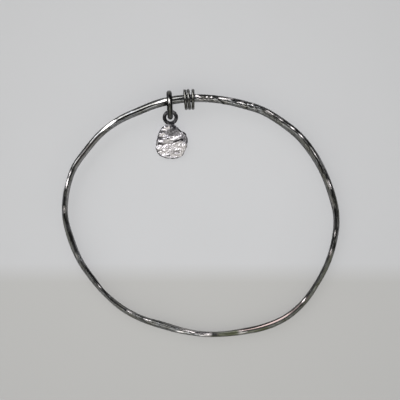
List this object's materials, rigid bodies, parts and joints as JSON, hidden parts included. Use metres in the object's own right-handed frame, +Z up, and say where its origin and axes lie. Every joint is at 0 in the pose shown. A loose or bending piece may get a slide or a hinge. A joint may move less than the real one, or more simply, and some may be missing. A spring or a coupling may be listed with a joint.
{
  "type": "charm bangle",
  "caption": "Hand-forged oval wire bangle with a chased stretch, small sliding rings and a rippled disc charm on a jump ring.",
  "frame": {"origin": "on the floor, at the middle of the part's box", "axes": "+Z up, along the axis of the bangle where it lies; +X along its length, +Y to the side with the jump ring, so the charm lies towards -Y"},
  "size_m": [0.0717, 0.0642, 0.0076],
  "materials": {
    "forged_silver": "hammered sterling silver, darkened and polished, olive-grey in its lows",
    "ring_silver": "smooth sterling silver, darkened and polished",
    "charm_silver": "melted and rippled sterling silver, bright on its highs and dark in its lows"
  },
  "bodies": {
    "root": {"hoop": "forged_silver", "jump_ring": "ring_silver", "charm": "charm_silver", "small_ring_1": "ring_silver", "small_ring_2": "ring_silver", "small_ring_3": "ring_silver"}
  },
  "joints": []
}
